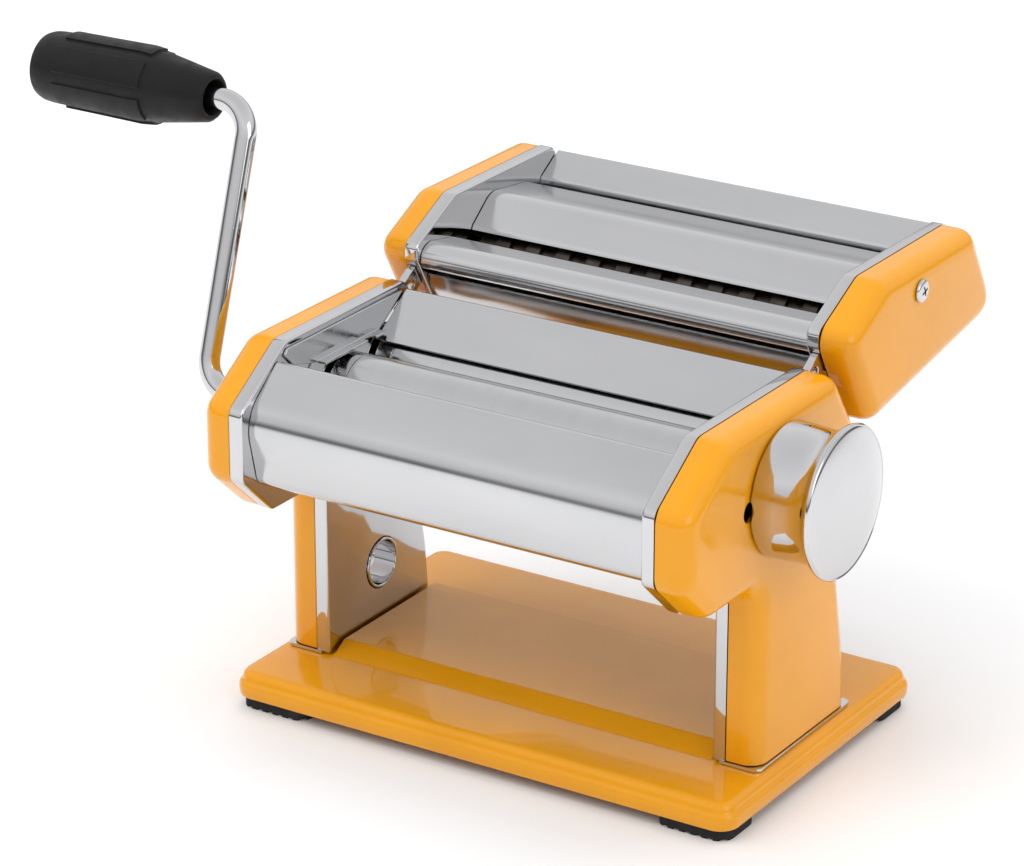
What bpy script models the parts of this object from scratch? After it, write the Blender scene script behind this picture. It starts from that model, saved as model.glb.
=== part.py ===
"""Hand-cranked pasta roller machine with its lift-off noodle cutter head.

Lengths below are millimetres and are turned into metres by MM when a mesh is made.
X runs along the rollers, +Y to the cutter head at the rear, +Z up.  The origin is the
centre of the underside of the base plate's raised platform.
"""
import math

import bmesh
import bpy
from mathutils import Vector

MM = 0.001
GAP = 0.3                     # clearance kept between neighbouring pieces

# ---- driving dimensions ------------------------------------------------------------
BASE_HALF_WIDTH = 103.2       # lip of the base plate, X
BASE_HALF_DEPTH = 67.8        # lip of the base plate, Y
BASE_CORNER = 7.0             # corner radius of the lip
BASE_TOP = -2.7               # flat top of the base outside the platform
BASE_LIP_BOTTOM = -12.7
SHEET = 1.3                   # base sheet thickness
PLATFORM_HALF_WIDTH = 79.2
FOOT_BOTTOM = -17.0
FOOT_CENTRE = (86.8, 54.6)
FOOT_HALF = (14.2, 11.0)

PLATE_INNER = 80.0            # inner faces of the chromed side plates, X
PLATE_SHEET = 1.2
FLANGE_DEPTH = 5.0            # flange bent outwards round each side plate
COVER_OUTER = 98.0            # outer faces of the enamelled covers, X
COVER_WALL = 1.5
COVER_ROUND = 3.5

ROLLER_RADIUS = 13.3
ROLLER_HALF_LENGTH = 78.6
ROLLER_GROOVE = 71.0          # where the working length ends
JOURNAL_RADIUS = 4.5
FRONT_AXIS = (-27.4, 98.7)    # Y, Z at the widest setting
REAR_AXIS = (1.8, 98.7)
DRIVE_AXIS = (-54.0, 97.5)
KNOB_AXIS = (-26.3, 98.7)
ROLLER_TRAVEL = 2.2
GEAR_TEETH = 12
GEAR_PITCH_RADIUS = 13.3
GEAR_NEAR, GEAR_FAR = 84.0, 91.0

KNOB_RADIUS = 27.0
KNOB_DRUM_RADIUS = 23.7
KNOB_RIM_X = 121.0

CRANK_ROD = 4.0
CRANK_PLANE = 121.3           # distance of the crank arm from the middle of the machine
CRANK_TOP = (-22.3, 194.6)    # Y, Z of the grip's axis
CRANK_BEND = 12.0
GRIP_NEAR, GRIP_FAR = 137.2, 213.0

CUTTER_RADIUS = 10.2
CUTTER_SPACING = 19.4
CUTTER_Z = 122.5
WIDE_AXES = (44.6, 64.0)      # Y of the two wide-noodle rollers
THIN_AXES = (87.9, 107.3)     # Y of the two thin-noodle rollers
CUTTER_GEAR_TEETH = 10
CLAMP_HOLE = (-4.5, 21.7)
CLAMP_HOLE_RADIUS = 10.0

AMBER = (0.80, 0.36, 0.045)
CHROME = (0.80, 0.81, 0.83)
STEEL = (0.70, 0.71, 0.72)
DARK_STEEL = (0.32, 0.32, 0.33)
BLACK = (0.012, 0.012, 0.013)
BRONZE = (0.45, 0.30, 0.14)

# Outline of the body side, Y and Z, with a corner radius at each point.
BODY_OUTLINE = [
    (-39.0, BASE_TOP + GAP, 0.6), (-39.0, 66.0, 7.0), (-71.0, 66.0, 3.0), (-89.0, 82.5, 4.0),
    (-89.0, 108.3, 5.0), (-61.5, 126.3, 6.0), (13.0, 126.3, 5.0), (28.0, 104.0, 5.0),
    (27.0, 88.0, 10.0), (18.0, 55.0, 20.0), (25.0, 18.0, 20.0), (27.0, BASE_TOP + GAP, 0.6),
]
LEDGE = 1.0                   # flange at the foot of each side plate, under its cover
COVER_BOTTOM = BASE_TOP + GAP + LEDGE + 0.4
COVER_OUTLINE = [(y, max(z, COVER_BOTTOM), radius) for y, z, radius in BODY_OUTLINE]
# Outline of the cutter head's side.
CUTTER_OUTLINE = [
    (20.2, 131.0, 1.8), (20.2, 137.0, 3.5), (46.0, 149.6, 6.0), (114.0, 149.6, 5.0),
    (131.5, 118.5, 6.0), (128.0, 112.6, 5.0), (42.0, 98.8, 5.0), (37.5, 100.6, 4.0),
]


# ---- small geometry helpers --------------------------------------------------------
def clear_scene():
    for obj in list(bpy.data.objects):
        bpy.data.objects.remove(obj, do_unlink=True)


def material(name, colour, roughness, metallic):
    mat = bpy.data.materials.get(name) or bpy.data.materials.new(name)
    mat.use_nodes = True
    shader = mat.node_tree.nodes["Principled BSDF"]
    shader.inputs["Base Color"].default_value = (*colour, 1.0)
    shader.inputs["Roughness"].default_value = roughness
    shader.inputs["Metallic"].default_value = metallic
    mat.diffuse_color = (*colour, 1.0)
    return mat


def rounded(outline, steps=3):
    """Corner points (y, z, radius) to a closed polygon with filleted corners."""
    points = []
    count = len(outline)
    for i, (y, z, radius) in enumerate(outline):
        here = Vector((y, z))
        before = Vector(outline[i - 1][:2]) - here
        after = Vector(outline[(i + 1) % count][:2]) - here
        limit = 0.49 * min(before.length, after.length)
        before.normalize()
        after.normalize()
        half = before.angle(after) / 2
        if radius <= 0 or half > math.radians(88):
            points.append((y, z))
            continue
        reach = min(radius / math.tan(half), limit)
        radius = reach * math.tan(half)
        centre = here + (before + after).normalized() * (radius / math.sin(half))
        start = (here + before * reach - centre).normalized()
        end = (here + after * reach - centre).normalized()
        for step in range(steps + 1):
            points.append(tuple(centre + start.slerp(end, step / steps) * radius))
    return points


def offset(outline, distance):
    """Corner points (y, z, radius) moved outwards by distance, inwards when negative."""
    count = len(outline)
    points = [Vector(corner[:2]) for corner in outline]
    area = sum(points[i - 1].cross(points[i]) for i in range(count))
    sign = 1.0 if area > 0 else -1.0
    moved = []
    for i in range(count):
        back = (points[i] - points[i - 1]).normalized()
        ahead = (points[(i + 1) % count] - points[i]).normalized()
        normal = Vector((back.y + ahead.y, -back.x - ahead.x)).normalized() * sign
        scale = normal.dot(Vector((ahead.y, -ahead.x)) * sign)
        place = points[i] + normal * (distance / scale)
        convex = back.cross(ahead) * sign > 0
        radius = outline[i][2] + (distance if convex else -distance)
        moved.append((place.x, place.y, max(0.2, radius)))
    return moved


def thicken(line, thickness):
    """Open polyline of (y, z) to the closed outline of a sheet centred on it."""
    left, right = [], []
    for i, point in enumerate(line):
        here = Vector(point)
        back = (here - Vector(line[i - 1])).normalized() if i else None
        ahead = (Vector(line[i + 1]) - here).normalized() if i + 1 < len(line) else None
        back = back or ahead
        ahead = ahead or back
        normal = Vector((-back.y - ahead.y, back.x + ahead.x)).normalized()
        scale = max(0.5, normal.dot(Vector((-ahead.y, ahead.x))))
        left.append(tuple(here + normal * (thickness / 2 / scale)))
        right.append(tuple(here - normal * (thickness / 2 / scale)))
    return left + right[::-1]


def loft(loops, cyclic=False):
    """Solid skinned over loops of equal length, ends capped unless it is cyclic."""
    bm = bmesh.new()
    rings = [[bm.verts.new(Vector(p) * MM) for p in loop] for loop in loops]
    count = len(rings[0])
    pairs = list(zip(rings, rings[1:]))
    if cyclic:
        pairs.append((rings[-1], rings[0]))
    else:
        bm.faces.new(rings[0])
        bm.faces.new(rings[-1])
    for low, high in pairs:
        for i in range(count):
            j = (i + 1) % count
            bm.faces.new((low[i], low[j], high[j], high[i]))
    bmesh.ops.recalc_face_normals(bm, faces=bm.faces)
    return bm


def across(points, x):
    """Closed (y, z) polygon placed at x."""
    return [(x, y, z) for y, z in points]


def prism(points, x_from, x_to):
    return loft([across(points, x_from), across(points, x_to)])


def circle(centre, radius, segments, turn=0.0):
    return [(centre[0] + radius * math.cos(2 * math.pi * i / segments + turn),
             centre[1] + radius * math.sin(2 * math.pi * i / segments + turn))
            for i in range(segments)]


def turned(profile, centre, segments=32, ring=False):
    """Body of revolution about an X axis through centre; profile is (x, radius)."""
    loops = [across(circle(centre, radius, segments), x) for x, radius in profile]
    return loft(loops, cyclic=ring)


def box(x_range, y_range, z_range):
    (x0, x1), (y0, y1), (z0, z1) = x_range, y_range, z_range
    return prism([(y0, z0), (y1, z0), (y1, z1), (y0, z1)], x0, x1)


def mirrored(bm):
    """Same piece on the other side of the machine."""
    for vert in bm.verts:
        vert.co.x = -vert.co.x
    bmesh.ops.reverse_faces(bm, faces=bm.faces)
    return bm


def make(name, bm, mat, origin=(0.0, 0.0, 0.0), smooth_deg=None):
    """Mesh to an object whose origin is at origin, in millimetres."""
    place = Vector(origin) * MM
    bmesh.ops.translate(bm, vec=-place, verts=bm.verts)
    mesh = bpy.data.meshes.new(name)
    bm.to_mesh(mesh)
    bm.free()
    mesh.materials.append(mat)
    if smooth_deg:
        mesh.shade_smooth()
        mesh.set_sharp_from_angle(angle=math.radians(smooth_deg))
    obj = bpy.data.objects.new(name, mesh)
    obj.location = place
    bpy.context.collection.objects.link(obj)
    return obj


def copy_of(name, original, location):
    obj = bpy.data.objects.new(name, original.data)
    obj.location = Vector(location) * MM
    bpy.context.collection.objects.link(obj)
    return obj


def cut(obj, bm, operation="DIFFERENCE"):
    """Boolean the cutter mesh bm out of (or into) obj."""
    mesh = bpy.data.meshes.new("cutter")
    bmesh.ops.translate(bm, vec=-obj.location, verts=bm.verts)
    bm.to_mesh(mesh)
    bm.free()
    cutter = bpy.data.objects.new("cutter_" + obj.name, mesh)
    cutter.location = obj.location
    cutter.hide_render = True
    cutter.display_type = "WIRE"
    bpy.context.collection.objects.link(cutter)
    modifier = obj.modifiers.new("cut", "BOOLEAN")
    modifier.operation = operation
    modifier.object = cutter
    return modifier


def hole(obj, centre, radius, x_from, x_to, segments=32):
    return cut(obj, prism(circle(centre, radius, segments), x_from, x_to))


# ---- base and feet -----------------------------------------------------------------
def rounded_rectangle(half_x, half_y, radius, z, steps=5):
    corners = [(half_x, -half_y, radius), (half_x, half_y, radius),
               (-half_x, half_y, radius), (-half_x, -half_y, radius)]
    return [(x, y, z) for x, y in rounded(corners, steps)]


def base_rings(profile, inset):
    """Rounded rectangles following the pressed edge; profile is (inset, z)."""
    rings = []
    for step_in, z in profile:
        reach = step_in + inset
        rings.append(rounded_rectangle(BASE_HALF_WIDTH - reach, BASE_HALF_DEPTH - reach,
                                       max(2.0, BASE_CORNER - reach), z))
    return rings


def platform_outline(inset, floor):
    top = 1.3 - inset
    return [(-38.0 + inset, floor), (-38.0 + inset, BASE_TOP - inset),
            (-30.5 + inset, top), (29.0 - inset, top),
            (33.0 - inset, BASE_TOP - inset), (33.0 - inset, floor)]


def build_base(mats):
    edge = [(4.6, BASE_TOP), (3.0, -3.1), (2.1, -4.3), (1.9, -6.6), (1.2, -7.6),
            (0.2, -8.6), (0.0, -10.2), (0.2, -11.9), (0.9, BASE_LIP_BOTTOM)]
    base = make("base_plate", loft(base_rings(edge, 0.0)), mats["amber"], smooth_deg=30)
    cut(base, prism(platform_outline(0.0, -3.4), -PLATFORM_HALF_WIDTH, PLATFORM_HALF_WIDTH),
        "UNION")
    inner = [(4.6, BASE_TOP - SHEET), (3.2, -4.6), (2.1, -6.6), (1.4, -8.2), (1.2, -10.2),
             (1.2, -14.0)]
    cut(base, loft(base_rings(inner, 0.6)))
    reach = PLATFORM_HALF_WIDTH - SHEET
    cut(base, prism(platform_outline(SHEET, -6.0), -reach, reach))
    for y in (-22.0, 12.0):
        for x in (-89.5, 89.5):
            cut(base, vertical_cylinder((x, y), 2.3, -8.0, 0.0, 16))


def vertical_cylinder(centre, radius, z_from, z_to, segments):
    ring = circle(centre, radius, segments)
    return loft([[(x, y, z_from) for x, y in ring], [(x, y, z_to) for x, y in ring]])


def build_feet(mats):
    first = None
    half_x, half_y = FOOT_HALF
    corners = [(name, sx * FOOT_CENTRE[0], sy * FOOT_CENTRE[1]) for name, sx, sy in
               (("front_left", -1, -1), ("front_right", 1, -1),
                ("rear_left", -1, 1), ("rear_right", 1, 1))]
    for name, x, y in corners:
        if first is None:
            rings = [[(px + x, py + y, z) for px, py, _ in
                      rounded_rectangle(half_x - inset, half_y - inset, 6.0 - inset, 0.0, 3)]
                     for inset, z in ((1.0, FOOT_BOTTOM), (0.0, FOOT_BOTTOM + 1.0),
                                      (0.0, -9.6), (2.4, -8.2), (2.9, BASE_TOP - SHEET - GAP))]
            first = make("foot_" + name, loft(rings), mats["rubber"], (x, y, FOOT_BOTTOM))
        else:
            copy_of("foot_" + name, first, (x, y, FOOT_BOTTOM))


# ---- sides -------------------------------------------------------------------------
def side_plate(outline):
    """Flat chromed plate with a flange bent outwards all round, right-hand side."""
    steps = [(-1.3, PLATE_INNER), (-0.4, PLATE_INNER + 0.35), (0.0, PLATE_INNER + 1.2),
             (0.0, PLATE_INNER + FLANGE_DEPTH), (-PLATE_SHEET, PLATE_INNER + FLANGE_DEPTH),
             (-PLATE_SHEET, PLATE_INNER + PLATE_SHEET + 0.6),
             (-PLATE_SHEET - 0.7, PLATE_INNER + PLATE_SHEET)]
    return loft([across(rounded(offset(outline, reach)), x) for reach, x in steps])


def side_cover(outline):
    """Enamelled shell that closes the outside of a side, right-hand side."""
    near = PLATE_INNER + FLANGE_DEPTH + GAP
    back = COVER_OUTER - COVER_WALL
    steps = [(-4.2, back), (-2.3, back - 0.5), (-COVER_WALL, back - 2.2), (-COVER_WALL, near),
             (0.0, near), (0.0, COVER_OUTER - COVER_ROUND), (-0.5, COVER_OUTER - 1.7),
             (-1.6, COVER_OUTER - 0.5), (-COVER_ROUND, COVER_OUTER)]
    return loft([across(rounded(offset(outline, reach)), x) for reach, x in steps])


def slot_outline(y_low, y_high, z, half_height):
    return [(y_low, z - half_height), (y_high, z - half_height),
            (y_high, z + half_height), (y_low, z + half_height)]


TIE_RODS = [("front", (-76.0, 84.5)), ("rear", (20.0, 103.0))]


def hook_outline(margin):
    """Tongue that carries the cutter head in a notch of the body, corner points."""
    root, tip, side = Vector((27.0, 127.0)), Vector((12.5, 118.0)), 4.2 + margin
    along = (tip - root).normalized()
    across_it = Vector((-along.y, along.x)) * side
    root, tip = root - along * margin, tip + along * margin
    return [(*(root + across_it), 0.8), (*(tip + across_it), 3.4 + margin),
            (*(tip - across_it), 3.4 + margin), (*(root - across_it), 0.8)]


def hook_notch(side):
    """Opening in a flange for the tongue of the cutter head."""
    notch = prism(rounded(hook_outline(0.35)), PLATE_INNER + PLATE_SHEET + 0.1,
                  PLATE_INNER + FLANGE_DEPTH + 0.2)
    return notch if side == "right" else mirrored(notch)


def build_sides(mats):
    far = PLATE_INNER + 8.0
    for side, sign in (("left", -1), ("right", 1)):
        flip = mirrored if sign < 0 else (lambda bm: bm)
        plate = make(side + "_side_plate", flip(side_plate(BODY_OUTLINE)), mats["chrome"])
        cover = make(side + "_side_cover", flip(side_cover(COVER_OUTLINE)), mats["amber"],
                     smooth_deg=32)
        ledge = box((PLATE_INNER + 3.0, COVER_OUTER - 0.8), (-38.2, 26.2),
                    (BASE_TOP + GAP + 0.1, BASE_TOP + GAP + 0.1 + LEDGE))
        cut(plate, flip(ledge), "UNION")
        cut(plate, hook_notch(side))
        low = FRONT_AXIS[0] - 6.5
        high = FRONT_AXIS[0] + ROLLER_TRAVEL + 6.5
        span = (sign * (PLATE_INNER - 4), sign * (PLATE_INNER + 3))
        cut(plate, prism(slot_outline(low, high, FRONT_AXIS[1], 6.8), min(span), max(span)))
        hole(plate, REAR_AXIS, 7.3, min(span), max(span))
        for _, centre in TIE_RODS:
            hole(plate, centre, 2.8, min(span), max(span), 16)
        if side == "left":
            hole(plate, DRIVE_AXIS, 9.3, -far, -PLATE_INNER + 2)
            hole(plate, CLAMP_HOLE, CLAMP_HOLE_RADIUS, -far, -PLATE_INNER + 2)
            hole(cover, DRIVE_AXIS, 8.2, -COVER_OUTER - 3, -COVER_OUTER + 5)
            hole(cover, CLAMP_HOLE, CLAMP_HOLE_RADIUS, -COVER_OUTER - 3, -COVER_OUTER + 5)
        else:
            hole(cover, KNOB_AXIS, 8.3, COVER_OUTER - 5, COVER_OUTER + 3)
            hole(cover, (KNOB_AXIS[0] - 22.6, KNOB_AXIS[1] - 1.0), 3.6,
                 COVER_OUTER - 5, COVER_OUTER + 3, 20)


def build_clamp_sleeve(mats):
    profile = [(-98.9, 8.4), (-79.6, 8.4), (-79.6, 9.6), (-98.3, 9.6), (-98.3, 10.9),
               (-98.9, 10.9)]
    make("clamp_sleeve", turned(profile, CLAMP_HOLE, 24, ring=True), mats["chrome"],
         smooth_deg=32)


def riveted_rod(name, centre, radius, spigot, mat):
    """Spacer rod between two side plates, its ends riveted over outside them."""
    inner, outer = PLATE_INNER - GAP, PLATE_INNER + PLATE_SHEET + GAP
    end = [(outer + 1.6, spigot * 0.6), (outer + 1.2, spigot + 0.8), (outer, spigot + 1.4),
           (outer, spigot), (inner, spigot), (inner, radius)]
    profile = [(-x, r) for x, r in end] + end[::-1]
    make(name, turned(profile, centre, 12), mat, smooth_deg=32)


def build_tie_rods(mats):
    for name, centre in TIE_RODS:
        riveted_rod("tie_rod_" + name, centre, 3.6, 2.5, mats["chrome"])


# ---- sheet-metal hopper ------------------------------------------------------------
def strip(name, line, thickness, half_width, mat):
    return make(name, prism(thicken(line, thickness), -half_width, half_width), mat)


def build_hopper(mats):
    half = PLATE_INNER - GAP
    strip("front_panel", [(-74.5, 77.0), (-79.6, 79.6), (-80.3, 80.8), (-85.9, 104.4), (-85.2, 106.4),
                          (-67.2, 120.6), (-66.2, 120.3), (-60.5, 115.4)], 0.9, half, mats["steel"])
    strip("hopper_plate", [(-5.4, 112.6), (10.6, 123.4), (12.0, 123.6), (13.0, 122.4), (13.6, 117.0)],
          0.9, half - 1.6, mats["steel"])
    outline = [(-59.0, 117.0), (-64.0, 121.8), (-62.0, 123.8), (9.0, 123.8), (9.8, 122.0),
               (-6.0, 113.4), (-45.0, 113.4), (-52.0, 115.0)]
    for side, sign in (("left", -1), ("right", 1)):
        sheet = prism(outline, PLATE_INNER - GAP - 1.0, PLATE_INNER - GAP)
        guide = make(side + "_side_guide", sheet if sign > 0 else mirrored(sheet), mats["steel"])
        lip = box((75.2, 79.2), (-44.5, -7.0), (112.9, 113.9))
        cut(guide, lip if sign > 0 else mirrored(lip), "UNION")


# ---- rollers, bearings and gears ---------------------------------------------------
def roller(left_end, right_end):
    radius, half, groove = ROLLER_RADIUS, ROLLER_HALF_LENGTH, ROLLER_GROOVE
    return [(left_end, JOURNAL_RADIUS), (-half, JOURNAL_RADIUS), (-half, radius - 0.3),
            (-groove - 0.8, radius - 0.3), (-groove - 0.8, radius - 1.0), (-groove, radius - 1.0),
            (-groove, radius), (groove, radius), (groove, radius - 1.0),
            (groove + 0.8, radius - 1.0), (groove + 0.8, radius - 0.3), (half, radius - 0.3),
            (half, JOURNAL_RADIUS), (right_end, JOURNAL_RADIUS)]


def gear_outline(centre, teeth, pitch_radius, first_tooth):
    """Closed (y, z) outline of a spur gear with involute flanks."""
    module = 2 * pitch_radius / teeth
    pressure = math.radians(25)
    base = pitch_radius * math.cos(pressure)
    tip = pitch_radius + 0.88 * module
    root = pitch_radius - 1.12 * module
    half_tooth = (math.pi * module / 2 - 0.36) / 2 / pitch_radius
    widest = half_tooth + math.tan(pressure) - pressure
    flank = [(root, widest), (base + 0.3, widest)]
    for radius in (tip,):
        angle = math.acos(base / radius)
        flank.append((radius, widest - math.tan(angle) + angle))
    points = []
    for tooth in range(teeth):
        middle = first_tooth + 2 * math.pi * tooth / teeth
        corners = [(r, middle - a) for r, a in flank] + [(r, middle + a) for r, a in flank[::-1]]
        points += [(centre[0] + r * math.cos(a), centre[1] + r * math.sin(a)) for r, a in corners]
    return points


def spur_gear(centre, teeth, pitch_radius, x_from, x_to, bore, first_tooth):
    """Spur gear between two X planes with a plain round bore."""
    outer = gear_outline(centre, teeth, pitch_radius, first_tooth)
    inner = circle(centre, bore, len(outer), first_tooth - 0.2)
    return loft([across(inner, x_from), across(outer, x_from), across(outer, x_to),
                 across(inner, x_to)], cyclic=True)


def build_rollers(mats):
    front = (0.0, *FRONT_AXIS)
    rear = (0.0, *REAR_AXIS)
    make("front_roller", turned(roller(-92.0, 84.0), FRONT_AXIS, 32), mats["roller"], front, 30)
    make("rear_roller", turned(roller(-92.0, 84.0), REAR_AXIS, 32), mats["roller"], rear, 30)
    pitch = 2 * math.pi / GEAR_TEETH
    low, high = -GEAR_FAR, -GEAR_NEAR
    make("front_roller_gear", spur_gear(FRONT_AXIS, GEAR_TEETH, GEAR_PITCH_RADIUS, low, high,
                                            JOURNAL_RADIUS + GAP, 0.0), mats["gear"], front)
    make("rear_roller_gear", spur_gear(REAR_AXIS, GEAR_TEETH, GEAR_PITCH_RADIUS, low, high,
                                           JOURNAL_RADIUS + GAP, math.pi + pitch / 2),
         mats["gear"], rear)
    lean = math.atan2(DRIVE_AXIS[1] - FRONT_AXIS[1], DRIVE_AXIS[0] - FRONT_AXIS[0])
    phase = 2 * lean - math.pi if (GEAR_TEETH % 2) else 2 * lean
    teeth = gear_outline(DRIVE_AXIS, GEAR_TEETH, GEAR_PITCH_RADIUS, phase - math.pi + pitch / 2)

    def hub(radius):
        return circle(DRIVE_AXIS, radius, len(teeth), phase - math.pi + pitch / 2 - 0.2)

    loops = [(-98.8, hub(4.4)), (-98.8, hub(7.0)), (low, hub(7.0)), (low, teeth), (high, teeth),
             (high, hub(7.0)), (-79.4, hub(7.0)), (-79.4, hub(4.4))]
    make("drive_gear", loft([across(points, x) for x, points in loops], cyclic=True),
         mats["gear"], (0.0, *DRIVE_AXIS))


def build_bearings(mats):
    for side, sign in (("left", -1), ("right", 1)):
        rear = [(79.2, 4.8), (83.2, 4.8), (83.2, 9.0), (81.5, 9.0), (81.5, 7.0), (79.2, 7.0)]
        rear = [(sign * x, r) for x, r in rear]
        make("rear_bushing_" + side, turned(rear, REAR_AXIS, 24, ring=True), mats["bronze"],
             smooth_deg=32)
        y, z = FRONT_AXIS
        inner = circle(FRONT_AXIS, 4.8, 24, math.pi / 4)

        def square(half):
            ring = []
            for i in range(24):
                angle = 2 * math.pi * i / 24 + math.pi / 4
                reach = half / max(abs(math.cos(angle)), abs(math.sin(angle)))
                ring.append((y + reach * math.cos(angle), z + reach * math.sin(angle)))
            return ring

        loops = [(79.2, inner), (83.2, inner), (83.2, square(9.0)), (81.5, square(9.0)),
                 (81.5, square(6.2)), (79.2, square(6.2))]
        bm = loft([across(points, sign * x) for x, points in loops], cyclic=True)
        make("front_bearing_block_" + side, bm, mats["bronze"], (sign * 81.5, y, z))
    bush = [(-79.2, 7.3), (-83.2, 7.3), (-83.2, 10.6), (-81.5, 10.6), (-81.5, 9.0), (-79.2, 9.0)]
    make("drive_bushing", turned(bush, DRIVE_AXIS, 24, ring=True), mats["bronze"], smooth_deg=32)


def build_scrapers(mats):
    half = PLATE_INNER - GAP
    strip("front_scraper", [(-36.5, 83.6), (-44.5, 83.6), (-45.3, 82.4), (-45.3, 76.0)], 0.8, half,
          mats["dark_steel"])
    strip("rear_scraper", [(9.0, 85.4), (16.5, 83.0), (17.4, 81.8), (17.4, 79.6)], 0.8, half,
          mats["dark_steel"])


# ---- thickness knob ----------------------------------------------------------------
def build_knob(mats):
    near = COVER_OUTER + 0.4
    rim = KNOB_RIM_X
    drum = KNOB_DRUM_RADIUS
    profile = [(rim + 4.6, 1.2), (rim + 4.4, 8.0), (rim + 3.7, 15.0), (rim + 2.5, 21.0),
               (rim + 1.1, 25.2), (rim + 0.7, 26.6), (rim, KNOB_RADIUS),
               (rim - 0.8, KNOB_RADIUS - 0.1), (rim - 1.7, KNOB_RADIUS - 1.2), (rim - 3.4, drum + 0.7),
               (rim - 6.5, drum - 0.6), (rim - 12.0, drum - 0.3), (near + 1.0, drum),
               (near, drum - 0.8), (near, 5.1), (104.0, 5.1), (104.0, 11.0), (119.0, 11.0)]
    knob = make("adjusting_knob", turned(profile, KNOB_AXIS, 28), mats["chrome"],
                (KNOB_RIM_X, *KNOB_AXIS), 28)
    hole(knob, (KNOB_AXIS[0] - 17.0, KNOB_AXIS[1]), 1.9, near - 3.0, near + 6.0, 16)
    shaft = [(84.9, 4.7), (86.0, 4.7), (86.0, 13.0), (90.0, 13.0), (90.0, 4.7), (115.0, 4.7),
             (115.0, 9.6), (117.2, 9.6)]
    make("adjusting_shaft", turned(shaft, KNOB_AXIS, 20), mats["dark_steel"],
         (KNOB_RIM_X, *KNOB_AXIS), 32)
    bush = [(91.5, 5.0), (91.5, 9.6), (COVER_OUTER - COVER_WALL - GAP, 9.6),
            (COVER_OUTER - COVER_WALL - GAP, 8.0), (COVER_OUTER, 8.0), (COVER_OUTER, 5.0)]
    make("knob_bushing", turned(bush, KNOB_AXIS, 24, ring=True), mats["bronze"], smooth_deg=32)
    pin = [(COVER_OUTER + 0.3, 1.2), (COVER_OUTER + 0.8, 1.6), (near + 5.6, 1.6)]
    make("index_pin", turned(pin, (KNOB_AXIS[0] - 17.0, KNOB_AXIS[1]), 12), mats["dark_steel"],
         (KNOB_RIM_X, *KNOB_AXIS), 32)
    make("knob_spring", coil(104.6, 114.4, 7.4, 0.75, 4.0, KNOB_AXIS), mats["dark_steel"],
         smooth_deg=60)


def coil(x_from, x_to, radius, wire, turns, centre, steps=12, section=5):
    """Round-wire coil spring along X."""
    loops = []
    total = int(turns * steps)
    for i in range(total + 1):
        angle = 2 * math.pi * i / steps
        x = x_from + wire + (x_to - x_from - 2 * wire) * i / total
        loop = []
        for k in range(section):
            roll = 2 * math.pi * k / section
            reach = radius + wire * math.cos(roll)
            loop.append((x + wire * math.sin(roll), centre[0] + reach * math.cos(angle),
                         centre[1] + reach * math.sin(angle)))
        loops.append(loop)
    return loft(loops)


# ---- crank -------------------------------------------------------------------------
def bend_points(corner, along_in, along_out, radius, steps=7):
    """Centre-line points of a round bend between two directions."""
    half = (-along_in).angle(along_out) / 2
    reach = radius / math.tan(half)
    start = corner - along_in * reach
    end = corner + along_out * reach
    middle = corner + (along_out - along_in).normalized() * (radius / math.sin(half))
    first, last = (start - middle).normalized(), (end - middle).normalized()
    return [middle + first.slerp(last, step / steps) * radius for step in range(steps + 1)]


def sweep(path, radius, segments=16, chamfer=0.8):
    """Round bar along a centre line, ends slightly chamfered."""
    loops = []
    side = Vector((0.0, 0.0, 1.0))
    stations = [(path[0], radius - chamfer)]
    stations.append((path[0] + (path[1] - path[0]).normalized() * chamfer, radius))
    stations += [(point, radius) for point in path[1:-1]]
    stations.append((path[-1] + (path[-2] - path[-1]).normalized() * chamfer, radius))
    stations.append((path[-1], radius - chamfer))
    for i, (point, size) in enumerate(stations):
        before = stations[max(0, i - 1)][0]
        after = stations[min(len(stations) - 1, i + 1)][0]
        ahead = (after - before).normalized()
        side = (side - ahead * side.dot(ahead)).normalized()
        other = ahead.cross(side)
        loops.append([tuple(point + side * (size * math.cos(2 * math.pi * k / segments))
                            + other * (size * math.sin(2 * math.pi * k / segments)))
                      for k in range(segments)])
    return loft(loops)


def build_crank(mats):
    low = Vector((-CRANK_PLANE, *DRIVE_AXIS))
    top = Vector((-CRANK_PLANE, *CRANK_TOP))
    arm = (top - low).normalized()
    inward = Vector((1.0, 0.0, 0.0))
    path = [Vector((-82.4, *DRIVE_AXIS))]
    path += bend_points(low, -inward, arm, CRANK_BEND)
    path += bend_points(top, arm, -inward, CRANK_BEND)
    path.append(Vector((-GRIP_FAR + 12.0, *CRANK_TOP)))
    make("crank_rod", sweep(path, CRANK_ROD), mats["chrome"], (0.0, *DRIVE_AXIS), 40)
    near, far = -GRIP_NEAR, -GRIP_FAR
    profile = [(near, 4.4), (near, 7.6), (near - 1.2, 9.0), (near - 6.0, 10.2),
               (near - 14.0, 11.6), (near - 24.0, 13.6), (near - 30.0, 14.4),
               (near - 33.0, 14.4), (near - 38.0, 13.7), (near - 55.0, 13.4),
               (near - 66.0, 14.1), (far + 5.0, 14.2), (far + 1.6, 12.8), (far, 9.0),
               (far - 0.5, 4.0)]
    bore = [(far + 11.0, 4.4)]
    make("crank_grip", turned(bore + profile, CRANK_TOP, 24), mats["black"],
         (near, *CRANK_TOP), 35)


# ---- cutter head -------------------------------------------------------------------
CUTTER_RODS = [("rear", (117.8, 131.6))]


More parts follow.
